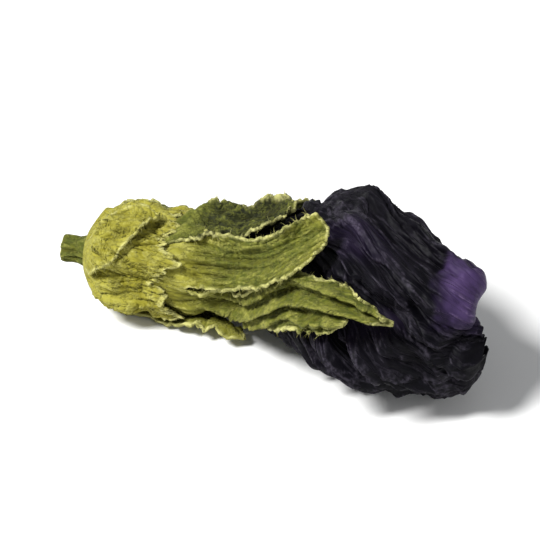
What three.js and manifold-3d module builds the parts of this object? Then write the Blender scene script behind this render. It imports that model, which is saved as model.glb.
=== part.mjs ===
// A dried mallow flower, lying on its side on a level surface as it was picked.
//
// The flower grew along one axis, which here runs along +X: from the broken end of its
// stalk, past the round cup of the calyx, to the margins of the petals. +Z is up.
// Three things grew in it, each in a colour of its own:
//   calyx             a cup that splits into five sepals, with three narrow bracts outside
//                     it and the stub of the stalk, all one yellow-green growth
//   corolla           five violet petals, joined at their claws, overlapping one way round
//                     like a pinwheel and shrivelled into a pleated fan
//   staminal_column   the pale column of joined stamens in the middle of the petals
// All sizes are in millimetres and all angles in degrees. "Along" is the distance along the
// flower from the foot of the cup, and angles round it run from +Y towards +Z. A "share" is
// how far a place lies along a petal, sepal or bract, from 0 at its root to 1 at its end.

import * as THREE from "three";
import { mergeVertices } from "three/addons/utils/BufferGeometryUtils.js";
import Module from "manifold-3d";

const wasm = await Module();
wasm.setup();
const { smoothstep, lerp, clamp, degToRad } = THREE.MathUtils;

// Driving dimensions.
const BLADE = 0.62; // thickness of every petal, sepal and bract
const GAP = 0.3; // air left between two growths of different colour
const FINEST = 0.04; // detail finer than this is dropped where blades are joined
const WELD = 1e-3; // points closer than this are one

// The flower's axis: its height and its sideways bend, from the cup to the fan.
const AXIS = { cupHeight: 3.15, fanHeight: 4.7, bend: -1.6 };

// The calyx. A cup's radius is measured to the middle of its wall.
const STALK = { radius: 0.75, length: 1.5, top: 0.85 };
const CUP = { radius: 2.9, swell: 3, mouthRadius: 2.65, length: 6.2, ribHeight: 0.14 };
const SPLIT = 0.4; // the share of a fifth of the calyx that belongs to the cup
const SEPAL_LIMIT = 31; // half the widest angle that a sepal takes up
const BRACT_ROOT = 0.7; // where the bracts spring from the cup
const BRACT_LIFT = 0.75; // how far the bracts lie outside the cup

// The corolla: the ring of claws round the column, the flare above it, and how the fan has
// slumped under its weight.
const CLAW = { radius: 1.3, start: 2, ringRadius: 1.85, ringLength: 1.3 };
const FAN = { radius: 5.6, start: 7, end: 18 };
const SLUMP = { wide: 1.14, low: 0.82, start: 8, end: 16 };
const PLEAT = { depth: 0.6, count: 12, start: 8, end: 14 }; // the folds that all petals share
const PETAL = { left: 32, right: 48, claw: 38, opening: [0.12, 0.5], curlStart: 0.66 };
const TWIST = 30; // how far the petals' ends are turned round the flower
const TUCK = 0.42; // the share of the flare by which a petal's left margin is tucked in
const LAP = 0.55; // how far a petal's right margin lies outside the next petal
const NOTCH = { depth: 0.07, width: 0.24 }; // in a petal's end, as shares of its size
const PRESS = 0.9; // how far a sepal presses the petals in

const COLUMN = { radius: 0.6, length: 11.6, headRadius: 0.95, headLength: 3.4 };

// Five petals, in the gaps between the sepals, each as long as its shrivelling has left it.
// Curl is the turn of the end, outwards.
const PETALS = [
  { angle: 102, length: 23.7, curl: -38, ruffle: 0.45, phase: 0.9 },
  { angle: 174, length: 22.8, curl: -2, ruffle: 0.45, phase: 0.4 },
  { angle: 246, length: 19.4, curl: 0, ruffle: 0.4, phase: 2.1 },
  { angle: 318, length: 15.4, curl: -18, ruffle: 0.4, phase: 3.9 },
  { angle: 30, length: 16.2, curl: -34, ruffle: 0.45, phase: 5.2 },
];

// Five sepals. Each drifts round the flower between the two shares of its turn, lifts its
// end outwards, holds its margins up like a boat's, and ends more bluntly the larger its
// bluntness is.
const SEPALS = [
  { angle: 152, length: 8.8, half: 1.45, drift: -46, turn: [0.45, 1], lift: 1.2, boat: 0.45, blunt: 5.0 },
  { angle: 224, length: 13.0, half: 1.7, drift: -61, turn: [0, 0.7], lift: 0.0, boat: 0.5, blunt: 2.4 },
  { angle: 296, length: 7.6, half: 2.1, drift: -14, turn: [0, 1], lift: 0.0, boat: 0.2, blunt: 2.4 },
  { angle: 8, length: 6.2, half: 2.1, drift: 10, turn: [0, 1], lift: 0.3, boat: 0.5, blunt: 3.0 },
  { angle: 80, length: 6.2, half: 2.1, drift: 8, turn: [0, 1], lift: 0.5, boat: 0.45, blunt: 2.6 },
];

// Three bracts, outside the cup.
const BRACTS = [
  { angle: 139, length: 8.2, half: 1.0, drift: 6, lift: 0.0 },
  { angle: 246, length: 9.2, half: 1.05, drift: -4, lift: 0.7 },
  { angle: 20, length: 7.0, half: 1.0, drift: -6, lift: 0.2 },
];

// The place that lies at an angle and a radius round the axis, some way along the flower.
function place(along, angle, radius) {
  const slump = smoothstep(along, SLUMP.start, SLUMP.end);
  const rise = smoothstep(along, CUP.length - 2, FAN.end);
  const sideways = radius * lerp(1, SLUMP.wide, slump) * Math.cos(angle);
  const up = radius * lerp(1, SLUMP.low, slump) * Math.sin(angle);
  const height = lerp(AXIS.cupHeight, AXIS.fanHeight, rise);
  return new THREE.Vector3(along, AXIS.bend * rise * rise + sideways, height + up);
}

// A closed geometry with its shared points merged becomes a solid.
function solid(geometry) {
  geometry.deleteAttribute("normal");
  geometry.deleteAttribute("uv");
  const merged = mergeVertices(geometry, WELD);
  return new wasm.Manifold(
    new wasm.Mesh({
      numProp: 3,
      vertProperties: merged.attributes.position.array,
      triVerts: new Uint32Array(merged.index.array),
    }),
  );
}

// A solid becomes a geometry again.
function drawn(body) {
  const { vertProperties, triVerts } = body.getMesh();
  const geometry = new THREE.BufferGeometry();
  geometry.setAttribute("position", new THREE.Float32BufferAttribute(vertProperties, 3));
  geometry.setIndex(new THREE.BufferAttribute(triVerts, 1));
  return geometry;
}

// One body from several that overlap, without the needle-thin facets that joining leaves.
const union = (solids) => solids.reduce((whole, next) => whole.add(next)).simplify(FINEST);

// The sheets that surfaces(u, v) draw, for u from -1 to 1 across and v from 0 to 1 along,
// joined where their edges meet and made BLADE thick. Both faces of the result are split
// into triangles alike, so they never cross.
function blade(surfaces, across, along) {
  const points = [];
  const quads = [];
  for (const surface of surfaces) {
    const first = points.length / 3;
    for (let j = 0; j <= along; j++) {
      for (let i = 0; i <= across; i++) {
        points.push(...surface((2 * i) / across - 1, j / along));
        if (i === across || j === along) continue;
        const a = first + j * (across + 1) + i;
        const [b, c, d] = [a + 1, a + across + 2, a + across + 1];
        quads.push(a, b, c, a, c, d);
      }
    }
  }
  const geometry = new THREE.BufferGeometry();
  geometry.setAttribute("position", new THREE.Float32BufferAttribute(points, 3));
  geometry.setIndex(quads);
  const sheet = mergeVertices(geometry, WELD);
  sheet.computeVertexNormals();
  return thicken(sheet);
}

// An open sheet becomes a solid: one face on each side of it, and a rim round its edges.
function thicken(sheet) {
  const middle = sheet.attributes.position;
  const inner = middle.count;
  const points = [];
  for (const side of [0.5, -0.5]) {
    for (let k = 0; k < middle.count; k++) {
      const out = new THREE.Vector3().fromBufferAttribute(sheet.attributes.normal, k);
      const spot = new THREE.Vector3().fromBufferAttribute(middle, k);
      points.push(...spot.addScaledVector(out, side * BLADE));
    }
  }
  const faces = [];
  const edges = new Map();
  for (let k = 0; k < sheet.index.count; k += 3) {
    const [a, b, c] = sheet.index.array.slice(k, k + 3);
    faces.push(a, b, c, inner + a, inner + c, inner + b);
    for (const [from, to] of [[a, b], [b, c], [c, a]]) edges.set(`${from} ${to}`, [from, to]);
  }
  for (const [from, to] of edges.values()) {
    if (edges.has(`${to} ${from}`)) continue;
    faces.push(to, from, inner + from, to, inner + from, inner + to);
  }
  const geometry = new THREE.BufferGeometry();
  geometry.setAttribute("position", new THREE.Float32BufferAttribute(points, 3));
  geometry.setIndex(faces);
  return solid(geometry);
}

// A solid turned round the axis from a profile of [along, radius] pairs. It is closed with
// a flat face at each end.
function lathed(profile, sides) {
  const ends = [[profile[0][0], 0], ...profile, [profile.at(-1)[0], 0]];
  const lathe = new THREE.LatheGeometry(
    ends.map(([along, radius]) => new THREE.Vector2(radius, along)),
    sides,
  );
  const spots = lathe.attributes.position;
  for (let k = 0; k < spots.count; k++) {
    const [across, along, up] = [spots.getX(k), spots.getY(k), spots.getZ(k)];
    const spot = place(along, Math.atan2(across, up), Math.hypot(across, up));
    spots.setXYZ(k, spot.x, spot.y, spot.z);
  }
  return solid(lathe);
}

// The cup's radius: it swells quickly from the stalk and narrows a little to its mouth.
function cupRadius(along) {
  const swell = Math.sqrt(1 - (1 - clamp(along / CUP.swell, 0, 1)) ** 2);
  const narrowing = smoothstep(along, CUP.swell, CUP.length);
  return lerp(STALK.radius - 0.2, CUP.radius, swell) + (CUP.mouthRadius - CUP.radius) * narrowing;
}

// The radius at which the petals lie, as they flare from the claws to the fan.
function fanRadius(along) {
  return lerp(CLAW.radius, FAN.radius, smoothstep(along, FAN.start, FAN.end));
}

// Where a sepal's middle line lies, and half its width. A sepal that has left the cup lies
// on the petals that it presses in.
function sepalLine(sepal, share) {
  const along = CUP.length + share * sepal.length;
  const lift = sepal.lift * smoothstep(share, 0.55, 1) ** 2;
  const laidOn = fanRadius(along) + BLADE + GAP + LAP + 0.4 * PLEAT.depth - PRESS;
  const onPetals = Math.max(laidOn, CUP.mouthRadius);
  return {
    along: along - 0.35 * lift,
    angle: degToRad(sepal.angle + sepal.drift * smoothstep(share, ...sepal.turn)),
    radius: lerp(CUP.mouthRadius, onPetals, smoothstep(share, 0, 0.25)) + lift,
    half: sepal.half * (0.1 + 0.9 * (1 - share ** sepal.blunt) ** 0.8),
  };
}

// How much a place on the petals is pressed in by the sepals: 0 for free, 1 for full.
function pressed(along, angle) {
  const shares = SEPALS.map((sepal) => {
    const share = (along - CUP.length) / sepal.length;
    const line = sepalLine(sepal, clamp(share, 0, 1));
    const turn = angle - line.angle;
    const aside = Math.abs(Math.atan2(Math.sin(turn), Math.cos(turn))) * line.radius;
    return (1 - smoothstep(aside, 1.5, 3.2)) * (1 - smoothstep(share, 0.95, 1.25));
  });
  return Math.max(...shares);
}

// A petal's radius, kept off the column.
function clearOfColumn(along, radius) {
  const head = COLUMN.length - COLUMN.headLength;
  const width = lerp(COLUMN.radius, COLUMN.headRadius, smoothstep(along, head - 2, head + 2));
  const least = (width + GAP + 0.58 * BLADE) * (1 - smoothstep(along, 14, 17));
  const sharpness = 3;
  return least + Math.log(1 + Math.exp((radius - least) * sharpness)) / sharpness;
}

// The pleats that all petals share, as one layer lies in the folds of the next.
function pleat(along, angle) {
  const depth = PLEAT.depth * smoothstep(along, PLEAT.start, PLEAT.end);
  const uneven = 0.75 + 0.25 * Math.sin(3 * angle + 0.6);
  const crowding = 1.5 * Math.sin(2 * angle + 1) + 0.12 * along;
  return depth * uneven * Math.sin(PLEAT.count * angle + crowding);
}

// A petal's line from claw to margin, turned by its curl near the end: the place along and
// the radius for each share of its length, worked out in short steps.
function petalLine(petal) {
  const steps = 80;
  const stride = petal.length / steps;
  const line = [{ along: CLAW.start, radius: CLAW.radius }];
  for (let k = 0; k <= steps; k++) {
    const { along, radius } = line[k];
    const flare = Math.atan((fanRadius(along + stride) - fanRadius(along)) / stride);
    const heading = flare + degToRad(petal.curl) * smoothstep(k / steps, PETAL.curlStart, 1);
    line.push({ along: along + stride * Math.cos(heading), radius: radius + stride * Math.sin(heading) });
  }
  return (share) => {
    const at = share * steps;
    const [low, rest] = [Math.floor(at), at - Math.floor(at)];
    return {
      along: lerp(line[low].along, line[low + 1].along, rest),
      radius: lerp(line[low].radius, line[low + 1].radius, rest),
    };
  };
}

// One petal: wedge-shaped with a notched end. Its left margin is tucked in towards the axis,
// and its right margin lies over the next petal.
function petal(data) {
  const line = petalLine(data);
  const quarter = Math.PI / 2;
  const surface = (u, v) => {
    const notch = NOTCH.depth * Math.exp(-((u / NOTCH.width) ** 2));
    const share = v * (1 - notch - 0.1 * Math.abs(u) ** 3);
    const { along, radius } = line(share);
    const open = smoothstep(share, ...PETAL.opening);
    const left = lerp(PETAL.claw, PETAL.left, open) * Math.sin(Math.min(1, -1.4 * u) * quarter);
    const right = lerp(PETAL.claw, PETAL.right, open) * Math.sin(0.9 * u * quarter);
    const angle = degToRad(data.angle + (u < 0 ? -left : right));
    const tuck = (0.17 + TUCK * (fanRadius(along) - CLAW.radius)) * smoothstep(-u, 0.12, 0.9);
    const lap = LAP * lerp(0.2, 1, open) * smoothstep(u, 0.35, 0.9);
    const ruffle = data.ruffle * smoothstep(share, 0.75, 1) * Math.sin(7 * u + data.phase);
    const turned = angle + degToRad(TWIST) * smoothstep(share, 0.35, 1);
    const press = pressed(along, turned);
    const folds = pleat(along, angle) * (1 - 0.6 * press) - PRESS * press * open;
    return place(along, turned, clearOfColumn(along, radius - tuck + lap + folds + ruffle));
  };
  return blade([surface], 24, 15);
}

// A fifth of the calyx: its share of the cup, then its sepal. The fifths meet edge to edge
// as far as the cup's mouth.
function fifth(sepal) {
  return (u, v) => {
    const ridges = CUP.ribHeight * Math.cos(2 * Math.PI * u);
    if (v < SPLIT + WELD) {
      const along = CUP.length * (1 - Math.cos((v / SPLIT) * (Math.PI / 2)));
      const radius = cupRadius(along) + ridges * smoothstep(v, 0, SPLIT / 2);
      return place(along, degToRad(sepal.angle + 36 * u), radius);
    }
    const share = (v - SPLIT) / (1 - SPLIT);
    const line = sepalLine(sepal, share);
    const free = smoothstep(share, 0, 0.12);
    const half = lerp(degToRad(36), Math.min(line.half / line.radius, degToRad(SEPAL_LIMIT)), free);
    const wave = 0.16 * Math.sin(11 * share + 2 * u) * smoothstep(share, 0.2, 0.6);
    const margin = u * u * (sepal.boat * smoothstep(share, 0.15, 0.7) + wave);
    const radius = line.radius + margin + ridges * (1 - 0.6 * share);
    return place(line.along, line.angle + u * half, radius);
  };
}

// A bract: narrow, with its root sunk in the cup's wall and its end free.
function bract(data) {
  const surface = (u, v) => {
    const along = BRACT_ROOT + v * data.length;
    const onCup = cupRadius(Math.min(along, CUP.swell)) + BLADE / 2;
    const rest = lerp(onCup, CUP.radius + BRACT_LIFT, smoothstep(along, 2, 6.5));
    const radius = rest + data.lift * v * v + 0.15 * u * u;
    const taper = (0.55 + 0.45 * Math.sin(Math.PI * Math.min(1.1 * v, 1))) * (1 - 0.5 * v ** 4);
    return place(along, degToRad(data.angle + data.drift * v) + (u * data.half * taper) / radius, radius);
  };
  return blade([surface], 4, 10);
}

function calyx() {
  const stalk = lathed(
    [
      [-STALK.length, STALK.radius],
      [-0.5, STALK.radius * 0.94],
      [0.1, STALK.radius * 1.3],
      [STALK.top, STALK.radius * 1.2],
    ],
    12,
  );
  return union([blade(SEPALS.map(fifth), 8, 20), stalk, ...BRACTS.map(bract)]);
}

// The petals stand in a ring, with a bore through it for the column.
function corolla() {
  const foot = CLAW.start - 0.2;
  const top = CLAW.start + CLAW.ringLength;
  const bore = COLUMN.radius + GAP;
  const ring = lathed(
    [
      [foot, CLAW.ringRadius],
      [top - 0.4, CLAW.ringRadius],
      [top, CLAW.radius],
    ],
    20,
  );
  const hole = lathed(
    [
      [foot - 1, bore],
      [top + 0.5, bore],
    ],
    12,
  );
  return union([ring, ...PETALS.map(petal)]).subtract(hole);
}

function column() {
  const neck = CLAW.start + COLUMN.length - COLUMN.headLength;
  const top = CLAW.start + COLUMN.length;
  return lathed(
    [
      [CLAW.start, COLUMN.radius],
      [neck, COLUMN.radius * 0.8],
      [neck + 0.5, COLUMN.headRadius * 0.8],
      [(neck + top) / 2, COLUMN.headRadius],
      [top - 0.4, COLUMN.headRadius * 0.7],
      [top, COLUMN.headRadius * 0.3],
    ],
    12,
  );
}

// What would lie below the surface is pressed flat on it, and any crumb cut loose is dropped.
function laid(body) {
  const slab = new THREE.BoxGeometry(60, 40, 10).translate(0, 0, -5);
  const cut = body.subtract(solid(slab)).simplify(FINEST);
  const bodies = solid(drawn(cut)).decompose();
  return bodies.sort((a, b) => b.volume() - a.volume())[0];
}

function mesh(name, body, color, roughness) {
  const geometry = drawn(body);
  geometry.computeVertexNormals();
  const made = new THREE.Mesh(geometry, new THREE.MeshStandardMaterial({ color, roughness, metalness: 0 }));
  made.name = name;
  return made;
}

const flower = new THREE.Group();
flower.add(
  mesh("calyx", laid(calyx()), 0x8f9140, 0.85),
  mesh("corolla", laid(corolla()), 0x2c2440, 0.6),
  mesh("staminal_column", column(), 0x9a86a8, 0.8),
);

// The origin is on the surface, under the middle of the flower.
const box = new THREE.Box3().setFromObject(flower);
const middle = box.getCenter(new THREE.Vector3());
flower.position.set(-middle.x, -middle.y, -box.min.z);

export default flower;
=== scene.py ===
# %% [markdown]
# # A dried mallow flower
# A mallow flower is picked in full bloom and dried whole. The calyx at its foot stays green and
# keeps its shape, because it is thick and felted. The petals are as thin as tissue paper: they
# lose their water, turn from mauve to blue-black and shrivel into folds along their veins.
# The solid model that this script loads has the right sizes, with smooth thick blades. Here
# every piece is made again, thin and crumpled, in the place that the solid has.

# %% Load the frame
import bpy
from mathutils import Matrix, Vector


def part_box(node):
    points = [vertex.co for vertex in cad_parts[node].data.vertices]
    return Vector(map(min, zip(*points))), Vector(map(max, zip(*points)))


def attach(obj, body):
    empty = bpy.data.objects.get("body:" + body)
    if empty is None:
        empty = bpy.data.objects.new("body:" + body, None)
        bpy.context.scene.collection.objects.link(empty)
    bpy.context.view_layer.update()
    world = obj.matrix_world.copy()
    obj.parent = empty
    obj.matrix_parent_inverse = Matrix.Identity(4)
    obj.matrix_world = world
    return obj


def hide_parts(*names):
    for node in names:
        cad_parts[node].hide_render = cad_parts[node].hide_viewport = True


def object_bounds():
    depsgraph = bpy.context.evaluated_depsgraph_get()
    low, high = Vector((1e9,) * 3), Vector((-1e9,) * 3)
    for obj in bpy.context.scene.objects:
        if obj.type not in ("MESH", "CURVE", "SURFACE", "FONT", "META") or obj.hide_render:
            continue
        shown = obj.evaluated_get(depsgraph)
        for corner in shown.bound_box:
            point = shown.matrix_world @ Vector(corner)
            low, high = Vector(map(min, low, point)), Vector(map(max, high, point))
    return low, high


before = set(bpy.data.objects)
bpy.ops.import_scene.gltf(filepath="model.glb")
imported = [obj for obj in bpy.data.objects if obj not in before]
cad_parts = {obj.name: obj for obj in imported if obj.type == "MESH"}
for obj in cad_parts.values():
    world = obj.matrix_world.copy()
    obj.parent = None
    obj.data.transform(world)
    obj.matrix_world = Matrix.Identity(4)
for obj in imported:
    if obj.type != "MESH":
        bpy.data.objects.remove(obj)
cad_low, cad_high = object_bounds()
print("solids:", sorted(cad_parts))

# %% Modules
import math
import random

import bmesh
import bpy
from mathutils import Matrix, Vector, noise

MM = 0.001  # Blender works in metres, and the flower is measured in millimetres
print("box of the solids, mm:", [round((b - a) / MM, 2) for a, b in zip(cad_low, cad_high)])

# %% [markdown]
# ## The camera
# A small object photographed from close by looks stretched towards the lens. The flower is
# seen here as part of a larger picture taken from further away, so a long lens stands well
# back. It looks down at 36 degrees and a little from the side of the petals.

# %% Camera
CAMERA_AZIMUTH, CAMERA_ELEVATION = math.radians(13), math.radians(36)
CAMERA_DISTANCE = 0.30  # m
SEEN_WIDTH = 0.0305  # m, how much of the scene the picture is wide
SENSOR_WIDTH = 36

backwards = Vector((
    math.sin(CAMERA_AZIMUTH) * math.cos(CAMERA_ELEVATION),
    -math.cos(CAMERA_AZIMUTH) * math.cos(CAMERA_ELEVATION),
    math.sin(CAMERA_ELEVATION),
))
lens = bpy.data.cameras.new("long_lens")
lens.sensor_width = SENSOR_WIDTH
lens.lens = SENSOR_WIDTH * CAMERA_DISTANCE / SEEN_WIDTH
lens.clip_start = 0.01
camera = bpy.data.objects.new("camera", lens)
bpy.context.scene.collection.objects.link(camera)
camera.location = (cad_low + cad_high) / 2 + backwards * CAMERA_DISTANCE
camera.rotation_euler = backwards.to_track_quat("Z", "Y").to_euler()
bpy.context.scene.camera = camera
print("focal length, mm:", round(lens.lens))

# %% [markdown]
# ## Measuring along the flower
# A flower grows round an axis, so its shapes are easiest to say in three numbers: how far
# along the axis, at which angle round it, and how far out from it. One function turns these
# into a place. It also bends the axis, lets the wide end slump as a heavy wet flower does
# before it dries, and keeps the lowest folds just above the table that they were pressed on.

# %% Places round the axis
column_low, column_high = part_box("staminal_column")
FOOT_X = column_low.x / MM - 2.0  # the foot of the cup, 2 mm below the foot of the column
FOOT_Y = column_high.y / MM - 0.6  # the radius of the column at its foot is 0.6 mm
CUP_HEIGHT, FAN_HEIGHT = 3.15, 4.7  # of the axis, at the cup and at the wide end
RISE_START, RISE_END, SIDEWAYS_BEND = 4.2, 18, 1.6  # where the axis climbs and bends
SLUMP_START, SLUMP_END, SLUMP_WIDE, SLUMP_LOW = 8, 16, 1.14, 0.82  # where it widens and sinks
PRESSED_FLAT = 0.34  # what would lie lower than this is squeezed together on the table


def smoothstep(x, low, high):
    """0 below low, 1 above high, and a smooth rise between them."""
    t = min(max((x - low) / (high - low), 0.0), 1.0)
    return t * t * (3 - 2 * t)


def blend(a, b, share):
    return a + (b - a) * share


def place(along, angle, radius, clearance=0.06):
    """Millimetres along, radians round and millimetres out, as a point in metres."""
    slump = smoothstep(along, SLUMP_START, SLUMP_END)
    rise = smoothstep(along, RISE_START, RISE_END)
    sideways = radius * blend(1, SLUMP_WIDE, slump) * math.cos(angle)
    height = blend(CUP_HEIGHT, FAN_HEIGHT, rise) + radius * blend(1, SLUMP_LOW, slump) * math.sin(angle)
    lowest = clearance + PRESSED_FLAT
    if height < lowest:
        height = clearance + PRESSED_FLAT * math.exp((height - lowest) / PRESSED_FLAT)
    return Vector((FOOT_X + along, FOOT_Y - SIDEWAYS_BEND * rise * rise + sideways, height)) * MM


print("foot of the cup, mm:", round(FOOT_X, 2), round(FOOT_Y, 2))

# %% [markdown]
# ## Creases
# Drying tissue shrinks and buckles into sharp crests with round valleys between them. Noise
# that crosses zero gives just that: one minus its size is a crest along every crossing. If the
# noise is squeezed across the petal and stretched along it, the crests run along the veins,
# and they fork and meet as real ones do. Crushed tissue also has flat facets with straight
# folds between them. A row of zigzags in random directions gives those, if each row is shifted
# by the height of the ones before it, so that its folds break where they cross.

# %% Crests from noise
CREST_STEEPNESS = 2.3
VEIN_RADIUS = 4.6  # mm from the axis, where the spacing is reckoned
# For each size of crest: how many there are in a millimetre across and along, and a shift.
VEIN_CRESTS = ((0.85, 0.17, 0), (1.9, 0.30, 31), (4.0, 0.55, 77))


def crest(x, y, z):
    """1 on a crest, falling to 0 in the valleys."""
    return 1 - min(1.0, CREST_STEEPNESS * abs(noise.noise((x, y, z))))


def round_the_axis(radius, angle):
    return radius * math.cos(angle), radius * math.sin(angle)


def vein_creases(along, angle, seed):
    """Crests that run along the veins, in three sizes: broad, fine and hair."""
    wander = 0.16 * noise.noise((*round_the_axis(2.1, angle), 0.4 * along + seed))
    x, y = round_the_axis(VEIN_RADIUS, angle + wander)
    return [
        crest(across * x, across * y, lengthwise * along + seed + shift)
        for across, lengthwise, shift in VEIN_CRESTS
    ]


def marks(crests):
    """From (crest, weight, width) rows: 0 in a sharp valley, a half on the flat, 1 on a crest."""
    high = max(weight * smoothstep(value, 1 - width, 1.0) for value, weight, width in crests)
    low = max(weight * (1 - smoothstep(value, 0.0, width)) for value, weight, width in crests)
    return 0.5 + 0.5 * high - 0.5 * low


print("a crest of noise:", round(crest(0.3, 0.4, 0.5), 3))

# %% Folds of crushed tissue


def make_folds(seed, count, coarsest, finest, crosswise):
    """Directions of folds, coarse first. The smaller crosswise is, the more they run lengthwise."""
    rng = random.Random(seed)
    folds = []
    for k in range(count):
        per_mm = coarsest * (finest / coarsest) ** (k / (count - 1))
        turn = rng.uniform(0, 2 * math.pi)
        folds.append((per_mm * math.cos(turn), per_mm * math.sin(turn),
                      per_mm * crosswise * rng.uniform(-1, 1), rng.random(), 1 / per_mm))
    return folds


def folded(folds, x, y, z):
    """Height of the folds in parts of their width, and the sharpest crest, at a place in mm."""
    height, sharpest = 0.0, 0.0
    for a, b, c, start, width in folds:
        t = a * x + b * y + c * z + start + 0.8 * height / width
        zigzag = abs(2 * (t - math.floor(t)) - 1)
        height += (zigzag - 0.5) * width
        sharpest = max(sharpest, zigzag)
    return height, sharpest


PETAL_FOLDS = make_folds(7, 5, 0.24, 0.9, 0.25)
CUP_FOLDS = make_folds(3, 6, 0.3, 1.5, 0.9)
print("height of the folds at one place:", round(folded(CUP_FOLDS, 1, 2, 3)[0], 2))

# %% [markdown]
# ## The shape of a petal
# A mallow petal is a wedge with a notch at its wide end. The five stand in a ring on narrow
# claws and overlap one way round like a pinwheel. Each flares from the claw, turns with the
# twist of the bud and curls at its end. The line below follows one strand of the petal from
# its claw to its margin in short steps, so that every strand can end in a roll of its own.

# %% Measures of the petals
CLAW_START, CLAW_RADIUS = 2.0, 1.3  # mm, as all lengths here
FAN_RADIUS, FAN_START, FAN_END = 5.6, 7.0, 18.0
BLADE, GAP = 0.62, 0.3  # how thick the solid's petals are, and how far apart two layers lie
LAP, PRESS, PLEAT_DEPTH = 0.55, 0.9, 0.6  # over a neighbour, in under a sepal, and in the pleats
TWIST = math.radians(100)
# For each petal: its angle at the claw, its length, the curl of its end, the height and phase of
# its ruffle, the roll of its margin in radians, the notch in its end, and its tucked side's reach.
PETALS = [
    {"angle": 32, "length": 25.0, "curl": -34, "ruffle": 0.30, "phase": 0.9, "roll": -1.7,
     "notch": 0.0, "tucked": 38},
    {"angle": 104, "length": 24.3, "curl": -14, "ruffle": 0.40, "phase": 0.9, "roll": -1.3,
     "notch": -0.01, "tucked": 50},
    {"angle": 176, "length": 20.2, "curl": -10, "ruffle": 0.40, "phase": 2.1, "roll": -1.3,
     "notch": 0.04, "tucked": 46},
    {"angle": 248, "length": 16.6, "curl": -18, "ruffle": 0.40, "phase": 3.9, "roll": -0.8,
     "notch": 0.06, "tucked": 50},
    {"angle": 320, "length": 16.6, "curl": -34, "ruffle": 0.35, "phase": 5.2, "roll": -1.1,
     "notch": 0.05, "tucked": 50},
]
print("lengths of the petals, mm:", [petal["length"] for petal in PETALS])

# %% A strand of a petal
STRAND_STEPS = 70
CURL_START = 0.66  # the share of its length from which a petal curls
ROLLED = 0.15  # the share of its length that rolls in


def fan_radius(along):
    """How far out the petals lie."""
    return blend(CLAW_RADIUS, FAN_RADIUS, smoothstep(along, FAN_START, FAN_END))


def strand(length, curl, end, roll):
    """Places (along, radius) from claw to margin. The last part turns by roll more."""
    stride = length / STRAND_STEPS
    places = [(CLAW_START, CLAW_RADIUS)]
    for k in range(STRAND_STEPS + 1):
        along, radius = places[-1]
        flare = math.atan((fan_radius(along + stride) - fan_radius(along)) / stride)
        share = k / STRAND_STEPS
        heading = flare + math.radians(curl) * smoothstep(share, CURL_START, 1)
        heading += roll * smoothstep(share, end - ROLLED, end)
        places.append((along + stride * math.cos(heading), radius + stride * math.sin(heading)))
    return places


print("fan radius at 15 mm:", round(fan_radius(15), 2))

# %% [markdown]
# ## The sepals' lines
# The sepals lie on the petals and press them in, so both need to know where the sepals run.
# Each line is given by a few values from its root inside the cup to its tip, and a smooth
# curve goes through them.

# %% Measures of the sepals
CUP_LENGTH, CUP_SWELL, CUP_RADIUS, MOUTH_RADIUS = 4.8, 3.0, 2.9, 2.65
# For each sepal, from its root to its tip: places along the axis, angles, half widths, how far it
# lifts off what it lies on, and its tone, which is 0 for yellow, 0.8 for olive and 1.5 for dark, where
# past 1 it is painted shade.
# Then the width that is left at its tip and how bluntly it gets there, how deep a boat it is,
# how strongly it is gathered and ridged, and how deeply one side of its end is cut in.
SEPALS = [
    {"along": (3.6, 6.2, 8.6, 11.0, 13.2, 15.0), "angle": (140, 136, 141, 138, 123, 112),
     "half": (1.9, 1.9, 1.6, 1.5, 2.0, 2.0), "lift": (0, 0.1, 0.1, 0.1, 0.25, 0.4),
     "tone": (0.1, 0.4, 0.9, 0.8, 0.55), "tip": 0.55, "blunt": 5.0,
     "boat": 1.35, "gathered": 0.10, "ridged": 0.8, "cleft": 0.0},
    {"along": (3.6, 7.0, 10.0, 13.0, 16.0, 19.7), "angle": (208, 208, 194, 159, 150, 153),
     "half": (1.6, 1.6, 1.7, 2.0, 2.1, 1.3), "lift": (0, 0.1, 0.1, 0.1, 0.2, 0.2),
     "tone": (0.1, 0.55, 0.7, 0.75, 0.8), "tip": 0.15, "blunt": 3.2,
     "boat": 0.25, "gathered": 0.60, "ridged": 1.2, "cleft": 0.13},
    # From here on, tones past 1 darken the back sepals as painted shade.
    {"along": (3.6, 6.5, 9.0, 11.5, 13.8), "angle": (296, 294, 290, 286, 282),
     "half": (1.6, 2.0, 2.1, 1.9, 1.4), "lift": (0, 0.1, 0, 0, 0),
     "tone": (0.2, 0.8, 1.1, 1.1), "tip": 0.2, "blunt": 2.4,
     "boat": 0.25, "gathered": 0.15, "ridged": 0.8, "cleft": 0.0},
    {"along": (3.6, 6.0, 8.0, 10.2, 12.4), "angle": (8, 10, 14, 17, 19),
     "half": (1.6, 2.0, 2.0, 1.9, 1.5), "lift": (0, 0.1, 0.1, 0.2, 0.3),
     "tone": (0.2, 1.3, 1.6, 1.5), "tip": 0.25, "blunt": 3.0,
     "boat": 0.5, "gathered": 0.2, "ridged": 0.9, "cleft": 0.0},
    {"along": (3.6, 6.0, 8.0, 10.2, 12.4), "angle": (78, 80, 84, 88, 88),
     "half": (1.6, 2.0, 2.1, 2.0, 1.6), "lift": (0, 0.1, 0.1, 0.3, 0.5),
     "tone": (0.2, 1.3, 1.7, 1.6), "tip": 0.25, "blunt": 2.6,
     "boat": 0.5, "gathered": 0.25, "ridged": 1.0, "cleft": 0.0},
]
print("widest place of each sepal, mm:", [2 * max(sepal["half"]) for sepal in SEPALS])

# %% A sepal's line


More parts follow.
